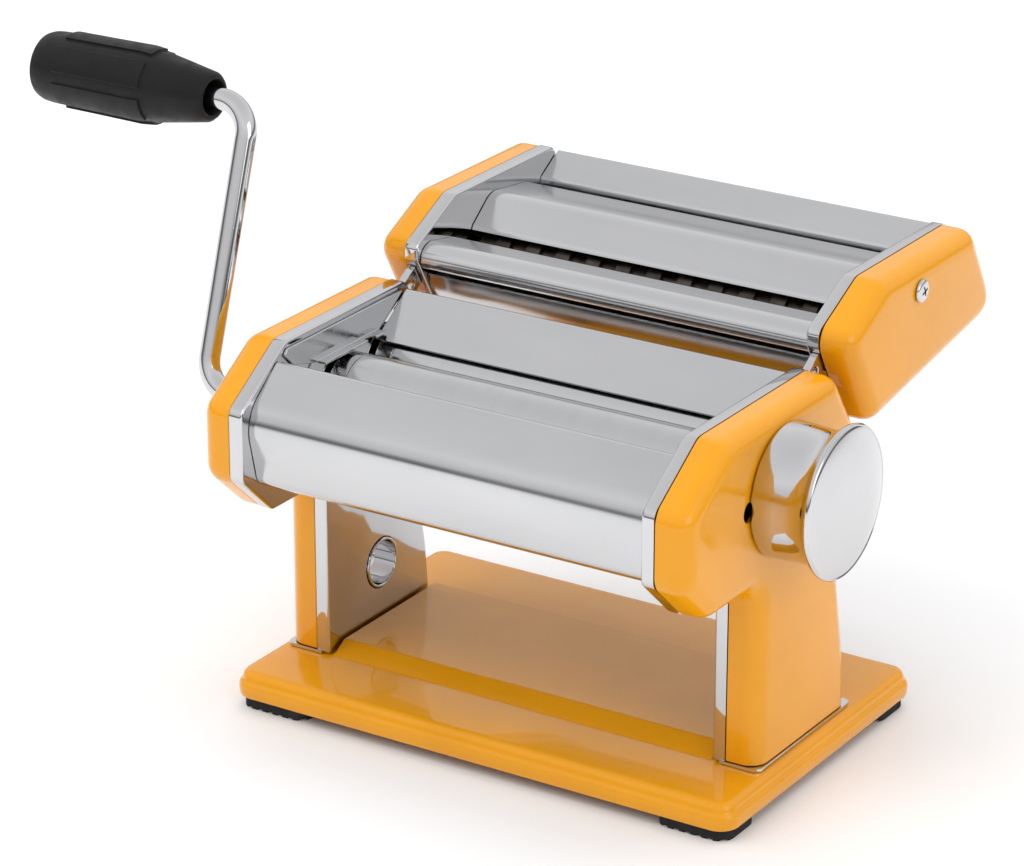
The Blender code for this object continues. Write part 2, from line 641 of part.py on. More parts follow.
def ringed(axis_offset, pitch, half_length, left_end, right_end):
    """Profile of a noodle roller: discs of one roller face the grooves of its partner."""
    tall, low = CUTTER_RADIUS, CUTTER_RADIUS - 1.7
    profile = [(left_end, 3.4), (-half_length, 3.4), (-half_length, low)]
    x = -half_length + 1.0 + axis_offset * pitch
    while x + pitch - 0.3 < half_length:
        profile += [(x + 0.3, low), (x + 0.3, tall), (x + pitch - 0.3, tall),
                    (x + pitch - 0.3, low)]
        x += 2 * pitch
    return profile + [(half_length, low), (half_length, 3.4), (right_end, 3.4)]


def plain(radius, half_length, left_end, right_end):
    return [(left_end, 3.4), (-half_length, 3.4), (-half_length, radius - 0.4),
            (-half_length + 0.4, radius), (half_length - 0.4, radius),
            (half_length, radius - 0.4), (half_length, 3.4), (right_end, 3.4)]


def build_cutter_sides(mats):
    for side, sign in (("left", -1), ("right", 1)):
        flip = mirrored if sign < 0 else (lambda bm: bm)
        plate = make("cutter_%s_plate" % side, flip(side_plate(CUTTER_OUTLINE)), mats["chrome"])
        cover = make("cutter_%s_cover" % side, flip(side_cover(CUTTER_OUTLINE)), mats["amber"],
                     smooth_deg=32)
        cut(plate, hook_notch(side))
        span = (sign * (PLATE_INNER - 4), sign * (PLATE_INNER + 3))
        for y in WIDE_AXES + THIN_AXES:
            hole(plate, (y, CUTTER_Z), 3.9, min(span), max(span), 20)
        for _, centre in CUTTER_RODS:
            hole(plate, centre, 2.5, min(span), max(span), 16)
        face = (sign * (COVER_OUTER - 5), sign * (COVER_OUTER + 3))
        hole(cover, (70.3, 139.3), 2.4, min(face), max(face), 16)
        if side == "left":
            for y in (WIDE_AXES[0], THIN_AXES[1]):
                hole(cover, (y, CUTTER_Z), 6.2, min(face), max(face), 24)
        screw = [(sign * x, r) for x, r in
                 ((90.0, 2.0), (COVER_OUTER + GAP, 2.0), (COVER_OUTER + GAP, 4.8),
                  (COVER_OUTER + 1.2, 4.8), (COVER_OUTER + 2.3, 3.9), (COVER_OUTER + 2.7, 2.0))]
        make("cutter_cover_screw_" + side, turned(screw, (70.3, 139.3), 20), mats["chrome"],
             (sign * COVER_OUTER, 70.3, 139.3), 32)


def build_cutter_rollers(mats):
    pitch = 2 * math.pi / CUTTER_GEAR_TEETH
    pairs = (("wide", WIDE_AXES, True), ("thin", THIN_AXES, False))
    for name, axes, grooved in pairs:
        for index, (place, y) in enumerate(zip(("front", "rear"), axes)):
            centre = (y, CUTTER_Z)
            driven = (name == "wide") == (index == 0)
            left = -95.6 if driven else -83.6
            if grooved:
                profile = ringed(index, 6.4, 76.8, left, 91.0)
            else:
                profile = plain(CUTTER_SPACING / 2 - 0.35, 76.8, left, 91.0)
            make("%s_cutter_%s" % (name, place), turned(profile, centre, 14), mats["steel"],
                 (0.0, *centre), 30)
            tooth = 0.0 if index == 0 else math.pi + pitch / 2
            make("%s_cutter_gear_%s" % (name, place),
                 spur_gear(centre, CUTTER_GEAR_TEETH, CUTTER_SPACING / 2, 83.6, 89.6,
                               3.7, tooth), mats["gear"], (0.0, *centre))


def build_cutter_sheets(mats):
    half = PLATE_INNER - GAP
    steel = mats["steel"]
    strip("cutter_front_cover", [(48.2, 133.4), (47.6, 135.0), (46.4, 135.6), (30.0, 136.8), (27.0, 136.4),
                                 (24.4, 134.6), (23.2, 131.6), (23.0, 128.6), (24.0, 127.6),
                                 (27.5, 127.2)], 0.8, half, steel)
    strip("cutter_middle_cover", [(62.2, 134.2), (62.4, 140.2), (63.6, 141.2), (74.0, 143.6),
                                  (89.0, 141.0), (90.2, 139.8), (90.4, 136.2)], 0.8, half, steel)
    strip("cutter_rear_cover", [(104.4, 136.4), (104.8, 139.6), (116.0, 146.6), (117.4, 146.2),
                                (127.0, 128.4)], 0.8, half, steel)
    strip("cutter_lower_panel", [(27.2, 124.4), (30.2, 118.0), (38.0, 106.0)], 0.8, half, steel)
    for name, axes in (("wide", WIDE_AXES), ("thin", THIN_AXES)):
        middle = sum(axes) / 2
        for place, sign in (("front", -1), ("rear", 1)):
            line = [(middle + sign * 3.2, CUTTER_Z - 9.0), (middle + sign * 5.8, CUTTER_Z - 12.3),
                    (middle + sign * 9.6, CUTTER_Z - 12.7)]
            strip("%s_comb_%s" % (name, place), line, 0.8, half - 1.0, mats["dark_steel"])


def build_cutter_frame(mats):
    for name, centre in CUTTER_RODS:
        riveted_rod("cutter_tie_rod_" + name, centre, 3.2, 1.8, mats["chrome"])
    for side, sign in (("left", -1), ("right", 1)):
        near, far = PLATE_INNER + PLATE_SHEET + 0.4, PLATE_INNER + FLANGE_DEPTH - 0.4
        hook = prism(rounded(hook_outline(0.0)), near, far)
        make("cutter_hook_" + side, hook if sign > 0 else mirrored(hook), mats["chrome"])


def main():
    clear_scene()
    mats = {
        "amber": material("amber_enamel", AMBER, 0.18, 0.0),
        "chrome": material("chrome_plate", CHROME, 0.06, 1.0),
        "steel": material("polished_steel", STEEL, 0.12, 1.0),
        "roller": material("ground_roller", STEEL, 0.2, 1.0),
        "dark_steel": material("dark_steel", DARK_STEEL, 0.35, 1.0),
        "gear": material("gear_steel", DARK_STEEL, 0.4, 1.0),
        "bronze": material("bushing_bronze", BRONZE, 0.4, 1.0),
        "rubber": material("foot_rubber", BLACK, 0.8, 0.0),
        "black": material("grip_plastic", BLACK, 0.35, 0.0),
    }
    build_base(mats)
    build_feet(mats)
    build_sides(mats)
    build_clamp_sleeve(mats)
    build_tie_rods(mats)
    build_hopper(mats)
    build_rollers(mats)
    build_bearings(mats)
    build_scrapers(mats)
    build_knob(mats)
    build_crank(mats)
    build_cutter_sides(mats)
    build_cutter_rollers(mats)
    build_cutter_sheets(mats)
    build_cutter_frame(mats)


main()
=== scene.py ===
"""Pasta roller machine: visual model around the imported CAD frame, laid out as an add-on."""

import math

import bmesh
import bpy
from mathutils import Matrix, Vector


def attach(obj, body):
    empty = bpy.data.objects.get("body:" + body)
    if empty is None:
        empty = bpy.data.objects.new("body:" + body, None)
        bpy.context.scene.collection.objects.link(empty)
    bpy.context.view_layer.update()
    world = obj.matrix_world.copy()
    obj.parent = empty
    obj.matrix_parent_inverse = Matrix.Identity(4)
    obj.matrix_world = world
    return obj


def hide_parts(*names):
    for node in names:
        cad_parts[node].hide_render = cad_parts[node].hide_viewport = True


bl_info = {
    "name": "Pasta Roller Machine",
    "version": (1, 0, 0),
    "blender": (4, 5, 0),
    "location": "View3D > Sidebar > Pasta Machine",
    "description": "Builds a hand-cranked pasta roller machine piece by piece",
    "category": "Add Mesh",
}

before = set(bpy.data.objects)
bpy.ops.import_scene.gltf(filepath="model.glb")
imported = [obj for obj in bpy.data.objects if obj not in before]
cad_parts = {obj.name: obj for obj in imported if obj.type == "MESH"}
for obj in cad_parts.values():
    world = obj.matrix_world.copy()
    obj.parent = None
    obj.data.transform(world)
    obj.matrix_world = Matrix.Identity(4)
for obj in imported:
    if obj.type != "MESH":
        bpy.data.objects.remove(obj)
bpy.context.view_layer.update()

MM = 0.001
BODY = "machine_body"
HEAD = "cutter_head"

# Side outlines: Y, Z and the corner radius, in millimetres.
BODY_OUTLINE = [
    (-39.0, -2.4, 1.6), (-39.0, 66.0, 7.0), (-71.0, 66.0, 3.0), (-89.0, 82.5, 4.0),
    (-89.0, 108.3, 5.0), (-61.5, 126.3, 6.0), (13.0, 126.3, 5.0), (28.0, 104.0, 5.0),
    (27.0, 88.0, 10.0), (18.0, 55.0, 20.0), (25.0, 18.0, 20.0), (27.0, -2.4, 1.6),
]
CUTTER_COVER_OUTLINE = [
    (17.6, 135.6, 7.5), (46.0, 149.6, 7.5), (114.0, 149.6, 7.5), (134.3, 113.6, 10.0),
    (38.9, 98.25, 8.0),
]
COVER_BOTTOM = -1.0
COVER_OUTLINE = [(y, z if z > 0 else z - 14.0, radius) for y, z, radius in BODY_OUTLINE]
CUTTER_OUTLINE = [
    (20.2, 131.0, 1.8), (20.2, 137.0, 3.5), (46.0, 149.6, 6.0), (114.0, 149.6, 5.0),
    (131.5, 118.5, 6.0), (128.0, 112.6, 5.0), (42.0, 98.8, 5.0), (37.5, 100.6, 4.0),
]
PLATE_FACE = 80.0
COVER_FACE = 98.0
FRONT_AXIS = (-27.4, 98.7)
REAR_AXIS = (1.8, 98.7)
DRIVE_AXIS = (-54.0, 97.5)
KNOB_AXIS = (-26.3, 98.7)
GRIP_AXIS = (-22.3, 194.6)
CLAMP_HOLE = (-4.5, 21.7)
CUTTER_Z = 122.5
WIDE_AXES = (44.6, 64.0)
THIN_AXES = (87.9, 107.3)
SCREW_AXIS = (70.3, 139.3)
FLOOR_Z = -17.05


# ---- modelling helpers ---------------------------------------------------------------
def outline_face(corners, x, least_radius=0.0, segments=6):
    """One flat face in the YZ plane with every corner rounded by a vertex bevel."""
    bm = bmesh.new()
    verts = [bm.verts.new((x, corner[0], corner[1])) for corner in corners]
    bm.faces.new(verts)
    reaches = []
    for i, vert in enumerate(verts):
        before = verts[i - 1].co - vert.co
        after = verts[(i + 1) % len(verts)].co - vert.co
        half = before.angle(after) / 2
        radius = max(corners[i][2], least_radius)
        reaches.append(min(radius / math.tan(half), 0.49 * min(before.length, after.length)))
    for vert, reach in zip(verts, reaches):
        if reach > 0.02:
            bmesh.ops.bevel(bm, geom=[vert], offset=reach, offset_type="OFFSET", segments=segments,
                            profile=0.5, affect="VERTICES", material=-1)
    return bm


def drawn_pan(corners, face_x, rim_x, bend, least_radius, steps=4):
    """Flat face with a rim drawn to rim_x and a rounded bend between them."""
    bm = outline_face(corners, face_x, least_radius)
    rim = [edge for edge in bm.edges if edge.is_boundary]
    made = bmesh.ops.extrude_edge_only(bm, edges=rim)["geom"]
    verts = [item for item in made if isinstance(item, bmesh.types.BMVert)]
    bmesh.ops.translate(bm, verts=verts, vec=(rim_x - face_x, 0, 0))
    fold = [edge for edge in bm.edges
            if all(abs(vert.co.x - face_x) < 1e-4 for vert in edge.verts)]
    bmesh.ops.bevel(bm, geom=fold, offset=bend, offset_type="OFFSET", segments=steps, profile=0.5,
                    affect="EDGES", clamp_overlap=False, material=-1)
    bmesh.ops.recalc_face_normals(bm, faces=bm.faces)
    return bm


def point_face(bm, at_x, towards):
    """Turns the shell so that its face at at_x looks towards +X or -X."""
    flat = max((face for face in bm.faces
                if abs(face.calc_center_median().x - at_x) < 1e-3), key=lambda f: f.calc_area())
    if flat.normal.x * towards < 0:
        bmesh.ops.reverse_faces(bm, faces=bm.faces)


def block(corners, x_from, x_to, least_radius=0.0):
    """Solid bar of a rounded outline."""
    bm = outline_face(corners, x_from, least_radius)
    made = bmesh.ops.extrude_face_region(bm, geom=bm.faces[:])["geom"]
    verts = [item for item in made if isinstance(item, bmesh.types.BMVert)]
    bmesh.ops.translate(bm, verts=verts, vec=(x_to - x_from, 0, 0))
    bmesh.ops.recalc_face_normals(bm, faces=bm.faces)
    return bm


def chain(points):
    """Wire of vertices joined one after another."""
    bm = bmesh.new()
    verts = [bm.verts.new(point) for point in points]
    for first, second in zip(verts, verts[1:]):
        bm.edges.new((first, second))
    return bm


def lathe(profile, axis, steps=64):
    """Turns a profile of (x, radius) a full circle about an X axis through (y, z)."""
    y, z = axis
    bm = chain([(x, y, z + radius) for x, radius in profile])
    closed = profile[0] == profile[-1]
    if closed:
        bmesh.ops.remove_doubles(bm, verts=bm.verts, dist=1e-5)
    bmesh.ops.spin(bm, geom=bm.verts[:] + bm.edges[:], cent=(0, y, z), axis=(1, 0, 0),
                   angle=math.tau, steps=steps, use_merge=True)
    bmesh.ops.remove_doubles(bm, verts=bm.verts, dist=1e-4)
    bmesh.ops.recalc_face_normals(bm, faces=bm.faces)
    return bm


def peg(axis, radius, x_from, x_to, steps=48):
    """Plain round bar along X."""
    return lathe([(x_from, 0), (x_from, radius), (x_to, radius), (x_to, 0)], axis, steps)


def folded_sheet(line, half_width, steps=6):
    """Sheet drawn along X from a line of (y, z, bend), each fold rounded by its bend."""
    bm = chain([(-half_width, y, z) for y, z, _ in line])
    made = bmesh.ops.extrude_edge_only(bm, edges=bm.edges[:])["geom"]
    verts = [item for item in made if isinstance(item, bmesh.types.BMVert)]
    bmesh.ops.translate(bm, verts=verts, vec=(2 * half_width, 0, 0))
    for y, z, bend in line[1:-1]:
        place = Vector((0, y, z))
        fold = [edge for edge in bm.edges if len(edge.link_faces) == 2
                and ((edge.verts[0].co + edge.verts[1].co) / 2 - place).length < 0.01]
        bmesh.ops.bevel(bm, geom=fold, offset=bend, offset_type="OFFSET", segments=steps,
                        profile=0.5, affect="EDGES", clamp_overlap=True, material=-1)
    bmesh.ops.recalc_face_normals(bm, faces=bm.faces)
    return bm


def cuboid(low, high):
    """Box between two corners."""
    bm = bmesh.new()
    bmesh.ops.create_cube(bm, size=1)
    size = [b - a for a, b in zip(low, high)]
    middle = [(a + b) / 2 for a, b in zip(low, high)]
    bmesh.ops.scale(bm, verts=bm.verts, vec=size)
    bmesh.ops.translate(bm, verts=bm.verts, vec=middle)
    return bm


def other_side(bm):
    """The same piece on the other side of the machine."""
    bmesh.ops.scale(bm, verts=bm.verts, vec=(-1, 1, 1))
    bmesh.ops.reverse_faces(bm, faces=bm.faces)
    return bm


def to_object(name, bm):
    """Mesh in millimetres to an object at the origin in metres."""
    bmesh.ops.scale(bm, verts=bm.verts, vec=(MM, MM, MM))
    mesh = bpy.data.meshes.new(name)
    bm.to_mesh(mesh)
    bm.free()
    mesh.shade_smooth()
    obj = bpy.data.objects.new(name, mesh)
    bpy.context.scene.collection.objects.link(obj)
    return obj


def settle(obj):
    """Turns the live modifiers of an object into mesh."""
    graph = bpy.context.evaluated_depsgraph_get()
    mesh = bpy.data.meshes.new_from_object(obj.evaluated_get(graph))
    obj.modifiers.clear()
    obj.data = mesh


def thicken(obj, thickness, offset=-1.0):
    """Gives a shell its wall."""
    wall = obj.modifiers.new("wall", "SOLIDIFY")
    wall.thickness = thickness * MM
    wall.offset = offset
    wall.use_even_offset = True
    settle(obj)


def carve(obj, *tools, operation="DIFFERENCE"):
    """Cuts each tool out of the object."""
    for tool in tools:
        helper = to_object("carving_tool", tool)
        cut = obj.modifiers.new("cut", "BOOLEAN")
        cut.operation = operation
        cut.solver = "EXACT"
        cut.object = helper
        settle(obj)
        bpy.data.objects.remove(helper)


def soften(obj, width, segments=3, angle=32):
    """Small radius on every edge sharper than the angle."""
    if width > 0:
        radius = obj.modifiers.new("edge radius", "BEVEL")
        radius.width = width * MM
        radius.segments = segments
        radius.limit_method = "ANGLE"
        radius.angle_limit = math.radians(angle)
        radius.harden_normals = True
        radius.use_clamp_overlap = True
    obj.data.shade_smooth()


def fit(obj, finish, body, nodes=()):
    """Gives a piece its material and ties it to the frame."""
    obj.data.materials.clear()
    obj.data.materials.append(finish)
    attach(obj, body)
    if nodes:
        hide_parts(*nodes)
    return obj


# ---- materials ------------------------------------------------------------------------
class Finish:
    """Node material with the few moves that the finishes here share."""

    def __init__(self, name, **values):
        self.material = bpy.data.materials.new(name)
        self.material.use_nodes = True
        self.tree = self.material.node_tree
        self.shader = self.tree.nodes["Principled BSDF"]
        for socket, value in values.items():
            self.shader.inputs[socket.replace("_", " ")].default_value = value
        self.place = self.tree.nodes.new("ShaderNodeTexCoord").outputs["Object"]

    def noise(self, scale, stretch=(1, 1, 1), detail=3.0, rough=0.55):
        mapping = self.tree.nodes.new("ShaderNodeMapping")
        mapping.inputs["Scale"].default_value = stretch
        texture = self.tree.nodes.new("ShaderNodeTexNoise")
        texture.inputs["Scale"].default_value = scale
        texture.inputs["Detail"].default_value = detail
        texture.inputs["Roughness"].default_value = rough
        self.tree.links.new(self.place, mapping.inputs["Vector"])
        self.tree.links.new(mapping.outputs["Vector"], texture.inputs["Vector"])
        return texture.outputs["Fac"]

    def spread(self, value, low, high, start=0.35, end=0.65):
        ranged = self.tree.nodes.new("ShaderNodeMapRange")
        for socket, number in (("From Min", start), ("From Max", end),
                               ("To Min", low), ("To Max", high)):
            ranged.inputs[socket].default_value = number
        self.tree.links.new(value, ranged.inputs["Value"])
        return ranged.outputs["Result"]

    def tint(self, value, low, high, start=0.3, end=0.7):
        ramp = self.tree.nodes.new("ShaderNodeValToRGB")
        ramp.color_ramp.elements[0].position = start
        ramp.color_ramp.elements[1].position = end
        ramp.color_ramp.elements[0].color = (*low, 1)
        ramp.color_ramp.elements[1].color = (*high, 1)
        self.tree.links.new(value, ramp.inputs["Fac"])
        self.tree.links.new(ramp.outputs["Color"], self.shader.inputs["Base Color"])

    def rough(self, value, low, high, start=0.35, end=0.65):
        self.tree.links.new(self.spread(value, low, high, start, end),
                            self.shader.inputs["Roughness"])

    def relief(self, value, depth, strength=1.0):
        bump = self.tree.nodes.new("ShaderNodeBump")
        bump.inputs["Strength"].default_value = strength
        bump.inputs["Distance"].default_value = depth * MM
        self.tree.links.new(value, bump.inputs["Height"])
        socket = self.shader.inputs["Normal"]
        if socket.is_linked:
            self.tree.links.new(socket.links[0].from_socket, bump.inputs["Normal"])
        self.tree.links.new(bump.outputs["Normal"], socket)


def shade(colour, amount):
    return tuple(channel * amount for channel in colour)


def enamel(colour):
    """Stoved amber enamel: deep gloss, faint orange peel, slightly uneven depth of colour."""
    made = Finish("amber_enamel", Coat_Weight=0.55, Coat_Roughness=0.03, Coat_IOR=1.45)
    made.shader.inputs["Specular IOR Level"].default_value = 0.2
    made.tint(made.noise(18, detail=5), shade(colour, 0.94), shade(colour, 1.05))
    made.rough(made.noise(60), 0.16, 0.27)
    made.relief(made.noise(230, detail=2), 0.012, 0.5)
    return made.material


def chrome(name, tone, low, high):
    """Bright plate with wiping marks and a trace of waviness."""
    made = Finish(name, Metallic=1.0)
    made.tint(made.noise(40), shade((tone, tone, tone * 1.015), 0.97), (tone, tone, tone * 1.015))
    made.rough(made.noise(90, (1, 0.35, 1), 6), low, high)
    made.relief(made.noise(35, detail=1), 0.02, 0.35)
    made.relief(made.noise(1500, (0.08, 1, 1), 2), 0.0012, 0.3)
    return made.material


def polished_sheet():
    """Mirror sheet with the rolling grain along X."""
    made = Finish("polished_steel", Metallic=1.0)
    made.tint(made.noise(30, (0.3, 1, 1)), (0.58, 0.585, 0.595), (0.64, 0.642, 0.652))
    made.rough(made.noise(220, (0.04, 1, 1), 5), 0.12, 0.2)
    made.relief(made.noise(900, (0.02, 1, 1), 3), 0.0025, 0.35)
    made.relief(made.noise(14, (0.5, 1, 1), 1), 0.05, 0.25)
    return made.material


def ground_steel():
    """Roller steel with fine rings left by grinding."""
    made = Finish("ground_roller", Metallic=1.0)
    made.tint(made.noise(60, (4, 0.4, 0.4)), (0.56, 0.565, 0.57), (0.58, 0.583, 0.59))
    made.rough(made.noise(900, (1, 0.03, 0.03), 4), 0.15, 0.17)
    made.relief(made.noise(2600, (1, 0.02, 0.02), 2), 0.0006, 0.25)
    return made.material


def plain_metal(name, low, high, rough_low, rough_high):
    """Unpolished metal with a mottled surface."""
    made = Finish(name, Metallic=1.0)
    made.tint(made.noise(150, detail=6), low, high)
    made.rough(made.noise(260, detail=5), rough_low, rough_high)
    made.relief(made.noise(900, detail=4), 0.006, 0.4)
    return made.material


def black_solid(name, tone, rough_low, rough_high, grain, depth):
    """Moulded black plastic or rubber with a fine eroded texture."""
    made = Finish(name)
    made.shader.inputs["Specular IOR Level"].default_value = 0.25
    made.tint(made.noise(70, detail=4), shade((1.0, 0.96, 0.95), tone * 0.8),
              shade((1.0, 0.97, 0.96), tone * 1.3))
    made.rough(made.noise(220, detail=4), rough_low, rough_high)
    made.relief(made.noise(grain, detail=3), depth, 0.6)
    return made.material


FINISHES = {}


def finish(name):
    """Finish by name, made once."""
    if name not in FINISHES:
        looks = bpy.context.scene.pasta_looks
        makers = {
            "amber_enamel": lambda: enamel(tuple(looks.enamel_colour)),
            "chrome_plate": lambda: chrome("chrome_plate", looks.chrome_tone, 0.025, 0.075),
            "polished_steel": polished_sheet,
            "ground_roller": ground_steel,
            # Noodle-roller steel kept near black: painted shade of the dark slots in the cutter
            # head, not a real colour of the metal.
            "shade_painted_steel": lambda: plain_metal("shade_painted_steel", (0.055, 0.045, 0.038),
                                               (0.12, 0.10, 0.085), 0.3, 0.5),
            "dark_steel": lambda: plain_metal("dark_steel", (0.25, 0.25, 0.26),
                                              (0.36, 0.36, 0.37), 0.25, 0.45),
            "gear_steel": lambda: plain_metal("gear_steel", (0.20, 0.20, 0.21),
                                              (0.32, 0.32, 0.32), 0.3, 0.5),
            "bushing_bronze": lambda: plain_metal("bushing_bronze", (0.40, 0.25, 0.11),
                                                  (0.52, 0.35, 0.17), 0.3, 0.5),
            "foot_rubber": lambda: black_solid("foot_rubber", 0.018, 0.6, 0.85, 700, 0.05),
            "grip_plastic": lambda: black_solid("grip_plastic", looks.grip_tone,
                                                0.36, 0.52, 1100, 0.03),
        }
        FINISHES[name] = makers[name]()
    return FINISHES[name]


# ---- settings -------------------------------------------------------------------------
class PastaLooks(bpy.types.PropertyGroup):
    """Colours and tones of the finishes."""
    enamel_colour: bpy.props.FloatVectorProperty(
        name="Enamel", description="Colour of the stoved enamel", subtype="COLOR",
        default=(0.80, 0.330, 0.004), min=0.0, max=1.0)
    chrome_tone: bpy.props.FloatProperty(
        name="Chrome tone", description="Brightness of the chrome plate",
        default=0.64, min=0.2, max=1.0, subtype="FACTOR")
    grip_tone: bpy.props.FloatProperty(
        name="Grip tone", description="Brightness of the grip's plastic",
        default=0.007, min=0.0, max=0.2, subtype="FACTOR")


class PastaSizes(bpy.types.PropertyGroup):
    """Edge and wall sizes of the sheet-metal pieces."""
    plate_wall: bpy.props.FloatProperty(
        name="Plate wall", description="Thickness of the side plates",
        default=1.2 * MM, min=0.0005, unit="LENGTH")
    cover_wall: bpy.props.FloatProperty(
        name="Cover wall", description="Thickness of the enamelled covers",
        default=1.5 * MM, min=0.0005, unit="LENGTH")
    cover_round: bpy.props.FloatProperty(
        name="Cover radius", description="Radius round the outer edge of the covers",
        default=7.0 * MM, min=0.0005, unit="LENGTH")
    panel_wall: bpy.props.FloatProperty(
        name="Panel wall", description="Thickness of the polished panels",
        default=0.9 * MM, min=0.0003, unit="LENGTH")


class PastaOperator(bpy.types.Operator):
    """Shared end of every building step."""
    bl_options = {"REGISTER", "UNDO"}

    def execute(self, context):
        self.build(context.scene.pasta_sizes)
        return {"FINISHED"}


# ---- base and feet --------------------------------------------------------------------
def flare(bm, edges, outward, drop):
    """Draws an edge loop down, moving it outwards along its own corner directions."""
    made = bmesh.ops.extrude_edge_only(bm, edges=edges)["geom"]
    verts = [item for item in made if isinstance(item, bmesh.types.BMVert)]
    next_edges = [item for item in made if isinstance(item, bmesh.types.BMEdge)
                  and all(vert in verts for vert in item.verts)]
    moves = {}
    for vert in verts:
        directions = []
        for edge in vert.link_edges:
            if edge in next_edges:
                along = edge.other_vert(vert).co - vert.co
                directions.append(Vector((along.x, along.y, 0)).normalized())
        turn = directions[0] - directions[1]
        normal = Vector((turn.y, -turn.x, 0)).normalized()
        if normal.dot(vert.co) < 0:
            normal = -normal
        sine = abs(normal.dot(Vector((directions[0].y, -directions[0].x, 0))))
        moves[vert] = normal * (outward / max(sine, 0.5)) - Vector((0, 0, drop))
    for vert, move in moves.items():
        vert.co += move
    return next_edges


def pressed_pan(half_x, half_y, radius, profile):
    """Rounded rectangle with its edge pressed down a profile of (outward, drop) steps."""
    top = profile[0]
    corners = [(-half_x, -half_y, radius), (half_x, -half_y, radius),
               (half_x, half_y, radius), (-half_x, half_y, radius)]
    bm = outline_face(corners, 0, segments=10)
    bmesh.ops.rotate(bm, verts=bm.verts, matrix=Matrix(((0, 1, 0), (0, 0, 1), (1, 0, 0))))
    bmesh.ops.translate(bm, verts=bm.verts, vec=(0, 0, top))
    edges = [edge for edge in bm.edges if edge.is_boundary]
    for outward, drop in profile[1:]:
        edges = flare(bm, edges, outward, drop)
    bmesh.ops.holes_fill(bm, edges=edges)
    bmesh.ops.recalc_face_normals(bm, faces=bm.faces)
    return bm


def platform_block(inset, floor):
    top = 1.3 - inset
    line = [(-38.0 + inset, floor, 0), (-38.0 + inset, -2.7 - inset, 0),
            (-30.5 + inset, top, 0), (29.0 - inset, top, 0), (33.0 - inset, -2.7 - inset, 0),
            (33.0 - inset, floor, 0)]
    reach = 79.2 - inset
    return block(line, -reach, reach)


class BuildBase(PastaOperator):
    """Enamelled base plate pressed from sheet, with its raised platform"""
    bl_idname = "pasta.base"
    bl_label = "Base plate"

    def build(self, sizes):
        edge = [(1.0, 0.15), (0.9, 0.5), (0.7, 0.8), (0.45, 1.0), (0.2, 0.9), (0.25, 0.5),
                (0.45, 0.45), (0.4, 0.5), (0.2, 0.8), (0.05, 1.0), (-0.05, 1.2), (-0.15, 1.1),
                (-0.3, 1.1)]
        base = to_object("base_pressing", pressed_pan(98.6, 63.2, 3.2, [-2.7] + edge))
        carve(base, platform_block(0.0, -3.4), operation="UNION")
        hollow = [(0.3, 0.6), (1.2, 1.0), (0.7, 1.6), (0.7, 1.6), (0.5, 1.8), (0.0, 4.0)]
        carve(base, pressed_pan(97.2, 61.8, 2.4, [-4.0] + hollow), platform_block(1.3, -6.0))
        soften(base, 0.6, 3, 24)
        fit(base, finish("amber_enamel"), BODY, ["base_plate"])


class BuildFeet(PastaOperator):
    """Four ribbed rubber feet"""
    bl_idname = "pasta.feet"
    bl_label = "Feet"

    def build(self, sizes):
        for name, sx, sy in (("front_left", -1, -1), ("front_right", 1, -1),
                             ("rear_left", -1, 1), ("rear_right", 1, 1)):
            x, y = sx * 86.8, sy * 54.6
            bm = cuboid((x - 14.2, y - 11.0, -16.3), (x + 14.2, y + 11.0, -8.6))
            uprights = [edge for edge in bm.edges
                        if abs(edge.verts[0].co.z - edge.verts[1].co.z) > 1]
            bmesh.ops.bevel(bm, geom=uprights, offset=5.6, offset_type="OFFSET", segments=6,
                            profile=0.5, affect="EDGES", material=-1)
            for step in range(-6, 7):
                bmesh.ops.bisect_plane(bm, geom=bm.verts[:] + bm.edges[:] + bm.faces[:],
                                       plane_co=(x + step * 2.2 + 0.2, y, 0),
                                       plane_no=(1, 0, 0))
            soles = [face for face in bm.faces if face.normal.z < -0.9
                     and int(math.floor((face.calc_center_median().x - x - 0.2) / 2.2)) % 2 == 0]
            made = bmesh.ops.extrude_discrete_faces(bm, faces=soles)["faces"]
            for face in made:
                bmesh.ops.translate(bm, verts=face.verts, vec=(0, 0, -0.7))
            neck = [face for face in bm.faces if face.normal.z > 0.9]
            made = bmesh.ops.extrude_face_region(bm, geom=neck)["geom"]
            verts = [item for item in made if isinstance(item, bmesh.types.BMVert)]
            bmesh.ops.delete(bm, geom=neck, context="FACES")
            bmesh.ops.translate(bm, verts=verts, vec=(-x, -y, 4.1))
            bmesh.ops.scale(bm, verts=verts, vec=(0.78, 0.74, 1))
            bmesh.ops.translate(bm, verts=verts, vec=(x, y, 0))
            bmesh.ops.recalc_face_normals(bm, faces=bm.faces)
            foot = to_object("rubber_foot_" + name, bm)
            soften(foot, 0.3, 2, 40)
            fit(foot, finish("foot_rubber"), BODY, ["foot_" + name])


# ---- sides ----------------------------------------------------------------------------
HOOK_ROOT, HOOK_TIP, HOOK_HALF = Vector((27.0, 127.0)), Vector((12.5, 118.0)), 4.2


def hook_corners(margin):
    along = (HOOK_TIP - HOOK_ROOT).normalized()
    side = Vector((-along.y, along.x)) * (HOOK_HALF + margin)
    root, tip = HOOK_ROOT - along * margin, HOOK_TIP + along * margin
    return [(*(root + side), 0.8), (*(tip + side), 3.8 + margin),
            (*(tip - side), 3.8 + margin), (*(root - side), 0.8)]


def plate_blank(corners, wall):
    """Side plate on the right: flat face inwards and a flange turned outwards."""
    bm = drawn_pan(corners, PLATE_FACE, PLATE_FACE + 5.0, 1.15, 1.5)
    point_face(bm, PLATE_FACE, -1)
    return bm


def cover_blank(corners, radius):
    """Enamelled cover on the right, its outer edge rolled over."""
    bm = drawn_pan(corners, COVER_FACE, PLATE_FACE + 5.3, radius, radius + 0.45, 7)
    point_face(bm, COVER_FACE, 1)
    return bm


def sided(sign, bm):
    return bm if sign > 0 else other_side(bm)


